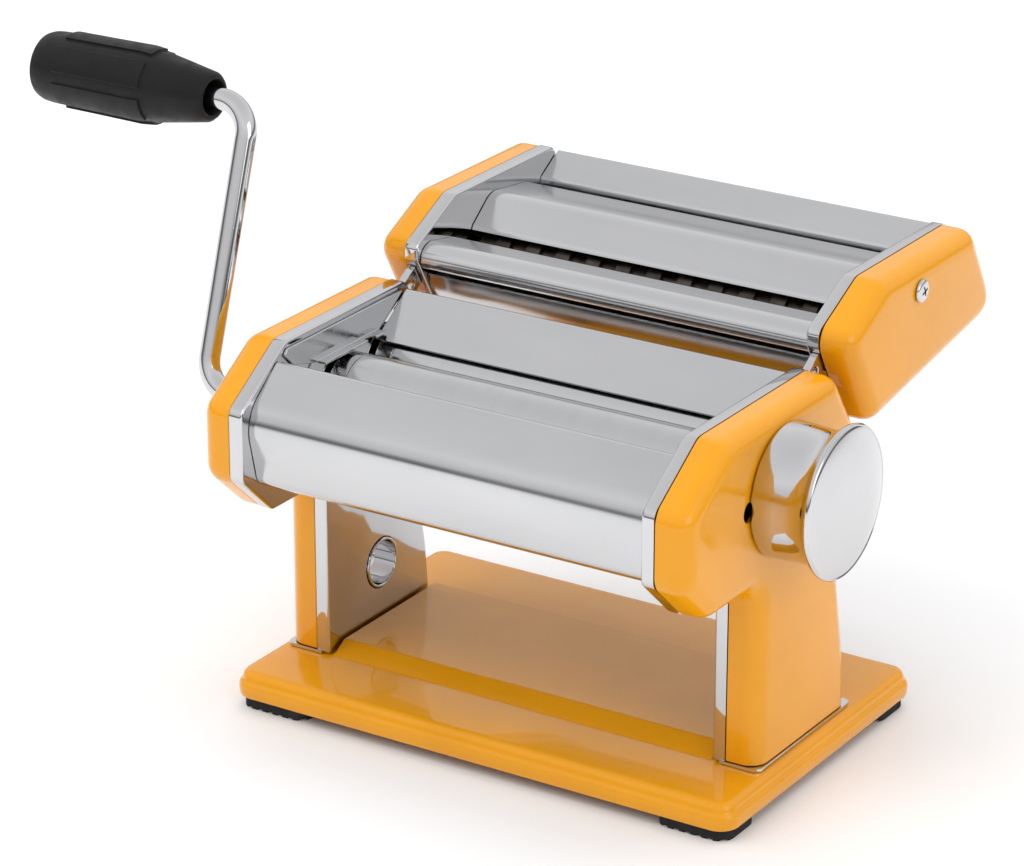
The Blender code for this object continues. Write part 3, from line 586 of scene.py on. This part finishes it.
def drilled(sign, axis, radius, x_from, x_to):
    low, high = sorted((sign * x_from, sign * x_to))
    return peg(axis, radius, low, high)


class BuildSidePlates(PastaOperator):
    """Chromed side plates with their flanges"""
    bl_idname = "pasta.side_plates"
    bl_label = "Side plates"

    def build(self, sizes):
        wall = sizes.plate_wall / MM
        for side, sign in (("left", -1), ("right", 1)):
            plate = to_object("chromed_plate_" + side, sided(sign, plate_blank(BODY_OUTLINE, wall)))
            thicken(plate, wall)
            ledge = cuboid((83.0, -39.3, -2.35), (98.5, 27.4, -1.25))
            outer = [edge for edge in ledge.edges
                     if all(vert.co.x > 90 for vert in edge.verts)
                     and abs(edge.verts[0].co.z - edge.verts[1].co.z) > 0.5]
            bmesh.ops.bevel(ledge, geom=outer, offset=3.0, offset_type="OFFSET", segments=6,
                            profile=0.5, affect="EDGES", material=-1)
            carve(plate, sided(sign, ledge), operation="UNION")
            y, z = FRONT_AXIS
            slot = [(y - 6.5, z - 6.8, 0), (y + 8.7, z - 6.8, 0), (y + 8.7, z + 6.8, 0),
                    (y - 6.5, z + 6.8, 0)]
            carve(plate, sided(sign, block(hook_corners(0.35), 81.3, 86.0)),
                  sided(sign, block(slot, 78.0, 83.0)), drilled(sign, REAR_AXIS, 7.3, 78, 83))
            if side == "left":
                carve(plate, drilled(sign, DRIVE_AXIS, 9.3, 78, 83),
                      drilled(sign, CLAMP_HOLE, 10.0, 78, 83))
            soften(plate, 0.25, 2, 40)
            fit(plate, finish("chrome_plate"), BODY, [side + "_side_plate"])


class BuildSideCovers(PastaOperator):
    """Enamelled covers that close the sides of the machine"""
    bl_idname = "pasta.side_covers"
    bl_label = "Side covers"

    def build(self, sizes):
        for side, sign in (("left", -1), ("right", 1)):
            cover = to_object("enamelled_cover_" + side,
                              sided(sign, cover_blank(COVER_OUTLINE, sizes.cover_round / MM)))
            thicken(cover, sizes.cover_wall / MM)
            carve(cover, sided(sign, cuboid((80, -60, -40), (110, 60, COVER_BOTTOM))))
            if side == "left":
                carve(cover, drilled(sign, DRIVE_AXIS, 8.2, 94, 101),
                      drilled(sign, CLAMP_HOLE, 10.0, 94, 101))
            else:
                index = (KNOB_AXIS[0] - 22.6, KNOB_AXIS[1] - 1.0)
                carve(cover, drilled(sign, KNOB_AXIS, 8.3, 94, 101),
                      drilled(sign, index, 3.6, 94, 101))
            soften(cover, 0.35, 3, 40)
            fit(cover, finish("amber_enamel"), BODY, [side + "_side_cover"])


class BuildClampSleeve(PastaOperator):
    """Rolled sleeve that lines the clamp hole of the left leg"""
    bl_idname = "pasta.clamp_sleeve"
    bl_label = "Clamp sleeve"

    def build(self, sizes):
        profile = [(-98.9, 8.4), (-79.6, 8.4), (-79.35, 8.7), (-79.35, 9.3), (-79.6, 9.6),
                   (-98.3, 9.6), (-98.3, 10.7), (-98.6, 10.9), (-98.9, 10.6), (-98.9, 8.4)]
        sleeve = to_object("clamp_hole_lining", lathe(profile, CLAMP_HOLE, 72))
        soften(sleeve, 0.15, 2, 35)
        fit(sleeve, finish("chrome_plate"), BODY, ["clamp_sleeve"])


# ---- sheet-metal hopper ---------------------------------------------------------------
PANELS = [
    ("front_hopper_panel", "front_panel", BODY, 79.7,
     [(-74.5, 77.0, 0), (-79.9, 80.0, 2.2), (-85.9, 105.2, 8.5), (-66.9, 120.6, 1.6),
      (-60.5, 115.4, 0)]),
    ("rear_hopper_plate", "hopper_plate", BODY, 78.1,
     [(-8.5, 110.5, 0), (11.4, 123.9, 1.2), (13.6, 117.0, 0)]),
    ("front_cutter_panel", "cutter_front_cover", HEAD, 79.7,
     [(43.4, 133.5, 0), (27.8, 136.3, 2.0), (22.8, 133.6, 2.6), (22.9, 128.0, 2.2),
      (27.5, 127.2, 0)]),
    ("middle_cutter_panel", "cutter_middle_cover", HEAD, 79.7,
     [(56.9, 132.6, 0), (57.4, 134.0, 0.8), (69.6, 143.5, 3.2), (94.2, 140.5, 0.9),
      (94.9, 136.6, 0)]),
    ("rear_cutter_panel", "cutter_rear_cover", HEAD, 79.7,
     [(104.4, 136.4, 0), (104.7, 139.6, 0.9), (116.7, 147.0, 0.9), (127.0, 128.4, 0)]),
    ("lower_cutter_panel", "cutter_lower_panel", HEAD, 79.7,
     [(27.2, 124.4, 0), (30.2, 118.0, 2.0), (38.0, 106.0, 0)]),
]


class BuildPanels(PastaOperator):
    """Polished panels of the hopper and of the cutter head"""
    bl_idname = "pasta.panels"
    bl_label = "Polished panels"

    def build(self, sizes):
        for name, node, body, half_width, line in PANELS:
            panel = to_object(name, folded_sheet(line, half_width))
            thicken(panel, sizes.panel_wall / MM, 0.0)
            soften(panel, 0.12, 2, 50)
            fit(panel, finish("polished_steel"), body, [node])


class BuildSideGuides(PastaOperator):
    """Thin guides that keep the dough off the side plates"""
    bl_idname = "pasta.side_guides"
    bl_label = "Side guides"

    def build(self, sizes):
        corners = [(-59.0, 117.0, 0.8), (-64.0, 121.8, 1.0), (-62.0, 123.8, 1.0), (9.0, 123.8, 1.0),
                   (9.8, 122.0, 0.8), (-6.0, 113.4, 1.5), (-45.0, 113.4, 1.5), (-52.0, 115.0, 2.0)]
        ledge = [(-44.5, 112.9, 0.2), (-7.0, 112.9, 0.2), (-7.0, 113.9, 0.2), (-44.5, 113.9, 0.2)]
        for side, sign in (("left", -1), ("right", 1)):
            guide = to_object("dough_guide_" + side, sided(sign, block(corners, 78.7, 79.7)))
            carve(guide, sided(sign, block(ledge, 75.2, 79.2)), operation="UNION")
            notch = [(-18.0, 112.0, 0), (-13.0, 112.0, 0), (-13.0, 115.0, 0), (-18.0, 115.0, 0)]
            carve(guide, sided(sign, block(notch, 74.0, 77.4)))
            soften(guide, 0.2, 2, 40)
            fit(guide, finish("polished_steel"), BODY, [side + "_side_guide"])


# ---- rollers --------------------------------------------------------------------------
class BuildRollers(PastaOperator):
    """The two smooth sheet rollers with their end grooves"""
    bl_idname = "pasta.rollers"
    bl_label = "Sheet rollers"

    def build(self, sizes):
        half = [(0.0, 13.3), (71.0, 13.3), (71.15, 12.4), (71.65, 12.4), (71.8, 13.0),
                (78.2, 13.0), (78.6, 12.6), (78.6, 4.5), (84.0, 4.5), (84.0, 0.0)]
        left = [(-x if x < 84.0 else -92.0, r) for x, r in half[1:]]
        profile = left[::-1] + half[1:]
        for name, body, axis in (("front_roller", "front_roller_unit", FRONT_AXIS),
                                 ("rear_roller", "rear_roller_unit", REAR_AXIS)):
            roller = to_object("sheet_" + name, lathe(profile, axis, 96))
            soften(roller, 0.12, 2, 35)
            fit(roller, finish("ground_roller"), body, [name])


def ring_profile(pitch, first, tall, low, half_length, left_end):
    profile = [(left_end, 0.0), (left_end, 3.4), (-half_length, 3.4), (-half_length, low)]
    x = -half_length + first
    gap = min(0.3, pitch * 0.12)
    while x + pitch - gap < half_length:
        profile += [(x + gap, low), (x + gap, tall), (x + pitch - gap, tall),
                    (x + pitch - gap, low)]
        x += 2 * pitch
    return profile + [(half_length, low), (half_length, 3.4), (91.0, 3.4), (91.0, 0.0)]


class BuildNoodleRollers(PastaOperator):
    """Ringed rollers that cut the sheet into wide and thin noodles"""
    bl_idname = "pasta.noodle_rollers"
    bl_label = "Noodle rollers"

    def build(self, sizes):
        kinds = (("wide", WIDE_AXES, 6.4, 10.2, 8.5), ("thin", THIN_AXES, 1.6, 9.35, 8.3))
        for kind, axes, pitch, tall, low in kinds:
            for index, (place, y) in enumerate(zip(("front", "rear"), axes)):
                driven = (kind == "wide") == (index == 0)
                profile = ring_profile(pitch, 1.0 + index * pitch, tall, low, 76.8,
                                       -95.6 if driven else -83.6)
                steps = 48 if kind == "wide" else 40
                node = "%s_cutter_%s" % (kind, place)
                roller = to_object("noodle_roller_%s_%s" % (kind, place),
                                   lathe(profile, (y, CUTTER_Z), steps))
                roller.data.shade_smooth()
                roller.data.set_sharp_from_angle(angle=math.radians(35))
                # The noodle rollers take steel darkened with painted shade of the cutter slots.
                fit(roller, finish("shade_painted_steel"), node + "_unit", [node])


# ---- knob -----------------------------------------------------------------------------
class BuildKnob(PastaOperator):
    """Domed chrome knob that sets the gap between the rollers"""
    bl_idname = "pasta.knob"
    bl_label = "Adjusting knob"

    def build(self, sizes):
        rim = 121.0
        dome = [(rim + 4.6 - 3.6 * (r / 25.6) ** 2.4, r) for r in
                (0.0, 2.5, 5, 7.5, 10, 12.5, 15, 17.5, 20, 22, 23.6, 24.8, 25.6)]
        lip = [(rim + 0.75, 26.0), (rim + 0.95, 26.45), (rim + 0.6, 26.9), (rim, 27.0),
               (rim - 0.6, 26.85), (rim - 1.2, 26.3), (rim - 2.0, 25.4), (rim - 3.2, 24.5),
               (rim - 4.8, 23.75), (rim - 6.8, 23.25), (rim - 9.5, 23.1), (rim - 14.0, 23.35),
               (99.6, 23.7), (98.9, 23.5), (98.4, 22.9), (98.4, 5.1), (104.0, 5.1),
               (104.0, 11.0), (119.0, 11.0), (119.0, 0.0)]
        knob = to_object("domed_knob", lathe(dome + lip, KNOB_AXIS, 128))
        carve(knob, peg((KNOB_AXIS[0] - 17.0, KNOB_AXIS[1]), 1.9, 95.0, 104.4))
        knob.data.shade_smooth()
        knob.data.set_sharp_from_angle(angle=math.radians(50))
        fit(knob, finish("chrome_plate"), "knob", ["adjusting_knob"])


# ---- crank ----------------------------------------------------------------------------
def bent_bar(bm, ring, centre, axis, angle, steps):
    """Sweeps a ring of edges round a bend and gives the ring at its end."""
    made = bmesh.ops.spin(bm, geom=ring, cent=centre, axis=axis, angle=angle, steps=steps,
                          use_merge=False)["geom_last"]
    return [item for item in made if not isinstance(item, bmesh.types.BMFace)]


def straight_bar(bm, ring, move):
    edges = [item for item in ring if isinstance(item, bmesh.types.BMEdge)]
    made = bmesh.ops.extrude_edge_only(bm, edges=edges)["geom"]
    verts = [item for item in made if isinstance(item, bmesh.types.BMVert)]
    bmesh.ops.translate(bm, verts=verts, vec=move)
    ends = [item for item in made if isinstance(item, bmesh.types.BMEdge)
            and all(vert in verts for vert in item.verts)]
    return verts + ends


class BuildCrank(PastaOperator):
    """Chromed crank rod with its two bends"""
    bl_idname = "pasta.crank"
    bl_label = "Crank rod"

    def build(self, sizes):
        radius, bend, plane = 4.0, 12.0, -121.3
        low = Vector((plane, *DRIVE_AXIS))
        top = Vector((plane, *GRIP_AXIS))
        arm = (top - low).normalized()
        bm = bmesh.new()
        bmesh.ops.create_circle(bm, cap_ends=False, segments=40, radius=radius)
        bmesh.ops.rotate(bm, verts=bm.verts, matrix=Matrix.Rotation(math.pi / 2, 3, "Y"))
        bmesh.ops.translate(bm, verts=bm.verts, vec=(-82.4, *DRIVE_AXIS))
        ring = bm.verts[:] + bm.edges[:]
        ring = straight_bar(bm, ring, (plane + bend + 82.4, 0, 0))
        hinge = Vector((1, 0, 0)).cross(arm)
        centre = low + Vector((bend, 0, 0)) + arm * bend
        ring = bent_bar(bm, ring, centre, hinge, -math.pi / 2, 14)
        length = (top - low).length - 2 * bend
        ring = straight_bar(bm, ring, arm * length)
        centre = top - arm * bend - Vector((bend, 0, 0))
        ring = bent_bar(bm, ring, centre, hinge, math.pi / 2, 14)
        straight_bar(bm, ring, (-201.0 - (plane - bend), 0, 0))
        bmesh.ops.remove_doubles(bm, verts=bm.verts, dist=1e-4)
        bmesh.ops.holes_fill(bm, edges=[edge for edge in bm.edges if edge.is_boundary])
        bmesh.ops.recalc_face_normals(bm, faces=bm.faces)
        rod = to_object("cranked_rod", bm)
        soften(rod, 0.7, 3, 40)
        fit(rod, finish("chrome_plate"), "crank", ["crank_rod"])


class BuildGrip(PastaOperator):
    """Black moulded grip with raised panels round its middle"""
    bl_idname = "pasta.grip"
    bl_label = "Crank grip"

    def build(self, sizes):
        near, far, panels, columns = -137.2, -213.0, 6, 10
        profile = [(far + 11.0, 0.0), (far + 11.0, 4.4), (near - 9.0, 4.4), (near - 1.5, 6.2),
                   (near - 0.2, 6.6), (near, 7.2), (near - 0.3, 8.2), (near - 1.6, 9.2),
                   (near - 12.0, 11.0), (near - 24.0, 13.0), (near - 29.0, 13.5),
                   (near - 46.0, 13.3), (near - 63.0, 13.2), (near - 69.0, 13.1),
                   (far + 4.0, 12.8), (far + 1.8, 12.0), (far + 0.5, 10.0), (far, 6.5),
                   (far, 0.0)]
        bm = lathe(profile, GRIP_AXIS, panels * columns)
        y0, z0 = GRIP_AXIS
        faces = []
        for face in bm.faces:
            middle = face.calc_center_median()
            angle = math.atan2(middle.z - z0, middle.y - y0) % math.tau
            column = int(angle / math.tau * panels * columns) % columns
            reach = math.hypot(middle.z - z0, middle.y - y0)
            if near - 63.5 < middle.x < near - 23.5 and 1 <= column <= 7 and reach > 12:
                faces.append(face)
        made = bmesh.ops.extrude_face_region(bm, geom=faces)["geom"]
        bmesh.ops.delete(bm, geom=faces, context="FACES_ONLY")
        for vert in [item for item in made if isinstance(item, bmesh.types.BMVert)]:
            out = Vector((0, vert.co.y - y0, vert.co.z - z0)).normalized()
            vert.co += out * 0.85
        bmesh.ops.recalc_face_normals(bm, faces=bm.faces)
        grip = to_object("moulded_grip", bm)
        soften(grip, 0.3, 3, 30)
        fit(grip, finish("grip_plastic"), "grip", ["crank_grip"])


# ---- cutter head ----------------------------------------------------------------------
class BuildCutterSides(PastaOperator):
    """Plates and enamelled covers of the cutter head"""
    bl_idname = "pasta.cutter_sides"
    bl_label = "Cutter head sides"

    def build(self, sizes):
        wall = sizes.plate_wall / MM
        for side, sign in (("left", -1), ("right", 1)):
            plate = to_object("chromed_cutter_plate_" + side,
                              sided(sign, plate_blank(CUTTER_OUTLINE, wall)))
            thicken(plate, wall)
            carve(plate, sided(sign, block(hook_corners(0.35), 81.3, 86.0)))
            carve(plate, *[drilled(sign, (y, CUTTER_Z), 3.9, 78, 83)
                           for y in WIDE_AXES + THIN_AXES])
            soften(plate, 0.25, 2, 40)
            fit(plate, finish("chrome_plate"), HEAD, ["cutter_%s_plate" % side])
            cover = to_object("enamelled_cutter_cover_" + side,
                              sided(sign, cover_blank(CUTTER_COVER_OUTLINE, sizes.cover_round / MM)))
            thicken(cover, sizes.cover_wall / MM)
            carve(cover, drilled(sign, SCREW_AXIS, 2.4, 94, 101))
            if side == "left":
                carve(cover, *[drilled(sign, (y, CUTTER_Z), 6.2, 94, 101)
                               for y in (WIDE_AXES[0], THIN_AXES[1])])
            soften(cover, 0.35, 3, 40)
            fit(cover, finish("amber_enamel"), HEAD, ["cutter_%s_cover" % side])


class BuildScrews(PastaOperator):
    """Cross-headed screws that hold the covers of the cutter head"""
    bl_idname = "pasta.screws"
    bl_label = "Cover screws"

    def build(self, sizes):
        y, z = SCREW_AXIS
        profile = [(90.0, 0.0), (90.0, 2.0), (98.3, 2.0), (98.3, 4.0), (98.5, 4.2), (98.9, 4.2),
                   (99.3, 3.9), (99.6, 3.3), (99.8, 2.2), (99.9, 1.1), (99.95, 0.0)]
        for side, sign in (("left", -1), ("right", 1)):
            screw = to_object("cover_screw_" + side, sided(sign, lathe(profile, SCREW_AXIS, 48)))
            for turn in (20.0, 110.0):
                arm = cuboid((98.8, y - 2.0, z - 0.4), (102.0, y + 2.0, z + 0.4))
                bmesh.ops.rotate(arm, verts=arm.verts, cent=(0, y, z),
                                 matrix=Matrix.Rotation(math.radians(turn), 3, "X"))
                carve(screw, sided(sign, arm))
            screw.data.shade_smooth()
            screw.data.set_sharp_from_angle(angle=math.radians(40))
            fit(screw, finish("chrome_plate"), HEAD, ["cutter_cover_screw_" + side])


class BuildHooks(PastaOperator):
    """Chromed tongues that hang the cutter head on the machine"""
    bl_idname = "pasta.hooks"
    bl_label = "Cutter hooks"

    def build(self, sizes):
        along = (HOOK_TIP - HOOK_ROOT).normalized()
        side_way = Vector((-along.y, along.x)) * 1.7
        ends = HOOK_ROOT + along * 7.0, HOOK_TIP - along * 3.2
        eye = [(*(ends[0] + side_way), 1.6), (*(ends[1] + side_way), 1.6),
               (*(ends[1] - side_way), 1.6), (*(ends[0] - side_way), 1.6)]
        for side, sign in (("left", -1), ("right", 1)):
            hook = to_object("hanging_tongue_" + side,
                             sided(sign, block(hook_corners(0.0), 81.6, 84.6)))
            carve(hook, sided(sign, block(eye, 80.0, 86.0)))
            soften(hook, 0.6, 3, 40)
            fit(hook, finish("chrome_plate"), HEAD, ["cutter_hook_" + side])


# ---- CAD pieces that only need a finish ----------------------------------------------
class DressHardware(PastaOperator):
    """Finishes for the gears, bearings, rods, scrapers and spring, kept as they are"""
    bl_idname = "pasta.hardware"
    bl_label = "Inner hardware"

    def build(self, sizes):
        kept = {
            "gear_steel": ["drive_gear", "front_roller_gear", "rear_roller_gear",
                           "wide_cutter_gear_front", "wide_cutter_gear_rear",
                           "thin_cutter_gear_front", "thin_cutter_gear_rear"],
            "bushing_bronze": ["rear_bushing_left", "rear_bushing_right", "drive_bushing",
                               "knob_bushing", "front_bearing_block_left",
                               "front_bearing_block_right"],
            "dark_steel": ["front_scraper", "rear_scraper", "adjusting_shaft", "index_pin",
                           "knob_spring", "wide_comb_front", "wide_comb_rear",
                           "thin_comb_front", "thin_comb_rear"],
            "chrome_plate": ["tie_rod_front", "tie_rod_rear", "cutter_tie_rod_rear"],
        }
        for name, nodes in kept.items():
            for node in nodes:
                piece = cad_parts[node]
                piece.data.materials.clear()
                piece.data.materials.append(finish(name))


# ---- stage ----------------------------------------------------------------------------
def softbox(name, place, target, width, height, power, glossy=False):
    light = bpy.data.lights.new(name, "AREA")
    light.shape = "RECTANGLE"
    light.size = width
    light.size_y = height
    light.energy = power
    lamp = bpy.data.objects.new(name, light)
    lamp.visible_glossy = glossy
    lamp.location = place
    lamp.rotation_mode = "QUATERNION"
    aim = Vector(target) - Vector(place)
    lamp.rotation_quaternion = aim.to_track_quat("-Z", "Y")
    bpy.context.scene.collection.objects.link(lamp)


def studio_world():
    """Pale room that darkens towards the horizon, so that polished metal has something to show."""
    world = bpy.data.worlds.new("studio")
    world.use_nodes = True
    tree = world.node_tree
    place = tree.nodes.new("ShaderNodeTexCoord")
    split = tree.nodes.new("ShaderNodeSeparateXYZ")
    ramp = tree.nodes.new("ShaderNodeValToRGB")
    lift = tree.nodes.new("ShaderNodeMapRange")
    lift.inputs["From Min"].default_value = -1.0
    stops = ((0.0, 0.60), (0.49, 0.56), (0.51, 0.14), (0.54, 0.16), (0.60, 0.75), (0.75, 0.95),
             (1.0, 0.78))
    elements = ramp.color_ramp.elements
    while len(elements) < len(stops):
        elements.new(0.5)
    for element, (position, tone) in zip(elements, stops):
        element.position = position
        element.color = (tone, tone, tone * 1.01, 1)
    tree.links.new(place.outputs["Generated"], split.inputs["Vector"])
    tree.links.new(split.outputs["Z"], lift.inputs["Value"])
    tree.links.new(lift.outputs["Result"], ramp.inputs["Fac"])
    back = tree.nodes["Background"]
    tree.links.new(ramp.outputs["Color"], back.inputs["Color"])
    back.inputs["Strength"].default_value = 1.0
    bpy.context.scene.world = world


class BuildStage(PastaOperator):
    """Pale floor, soft studio light and the camera"""
    bl_idname = "pasta.stage"
    bl_label = "Stage"

    def build(self, sizes):
        bm = bmesh.new()
        bmesh.ops.create_grid(bm, x_segments=1, y_segments=1, size=6000)
        bmesh.ops.translate(bm, verts=bm.verts, vec=(0, 0, FLOOR_Z))
        floor = to_object("studio_floor", bm)
        made = Finish("pale_floor", Roughness=0.6)
        made.tint(made.noise(3), (0.90, 0.90, 0.90), (0.93, 0.93, 0.93))
        floor.data.materials.append(made.material)
        studio_world()
        softbox("key", (-1.3, -1.3, 2.2), (0, 0, 0.08), 2.6, 2.6, 28)
        softbox("fill", (2.2, -0.6, 1.1), (0, 0, 0.08), 1.4, 1.4, 9, True)
        softbox("top", (0.2, 0.9, 2.6), (0, 0, 0.08), 2.4, 1.6, 24)
        back = Vector((0.49908, -0.78246, 0.37234))
        camera = bpy.data.cameras.new("camera")
        camera.lens = 146.7
        camera.sensor_width = 36.0
        camera.clip_start = 0.05
        camera.clip_end = 50.0
        eye = bpy.data.objects.new("camera", camera)
        eye.location = Vector((-78.6, 82.1, 43.7)) * MM + back * 1.589
        eye.rotation_mode = "QUATERNION"
        eye.rotation_quaternion = (-back).to_track_quat("-Z", "Y")
        bpy.context.scene.collection.objects.link(eye)
        bpy.context.scene.camera = eye
        bpy.context.scene.view_settings.view_transform = "Standard"


STEPS = (BuildStage, BuildBase, BuildFeet, BuildSidePlates, BuildSideCovers, BuildClampSleeve,
         BuildPanels, BuildSideGuides, BuildRollers, BuildNoodleRollers, BuildKnob, BuildCrank,
         BuildGrip, BuildCutterSides, BuildScrews, BuildHooks, DressHardware)


class PastaPanel(bpy.types.Panel):
    """Sidebar panel that lists the building steps"""
    bl_idname = "VIEW3D_PT_pasta_machine"
    bl_label = "Pasta Machine"
    bl_space_type = "VIEW_3D"
    bl_region_type = "UI"
    bl_category = "Pasta Machine"

    def draw(self, context):
        for group in (context.scene.pasta_sizes, context.scene.pasta_looks):
            for name in group.__annotations__:
                self.layout.prop(group, name)
        for step in STEPS:
            self.layout.operator(step.bl_idname)


CLASSES = (PastaLooks, PastaSizes) + STEPS + (PastaPanel,)


def register():
    for cls in CLASSES:
        bpy.utils.register_class(cls)
    bpy.types.Scene.pasta_looks = bpy.props.PointerProperty(type=PastaLooks)
    bpy.types.Scene.pasta_sizes = bpy.props.PointerProperty(type=PastaSizes)


def unregister():
    del bpy.types.Scene.pasta_sizes
    del bpy.types.Scene.pasta_looks
    for cls in reversed(CLASSES):
        bpy.utils.unregister_class(cls)


def main():
    register()
    for step in STEPS:
        group, name = step.bl_idname.split(".")
        getattr(getattr(bpy.ops, group), name)()


if __name__ == "__main__":
    main()
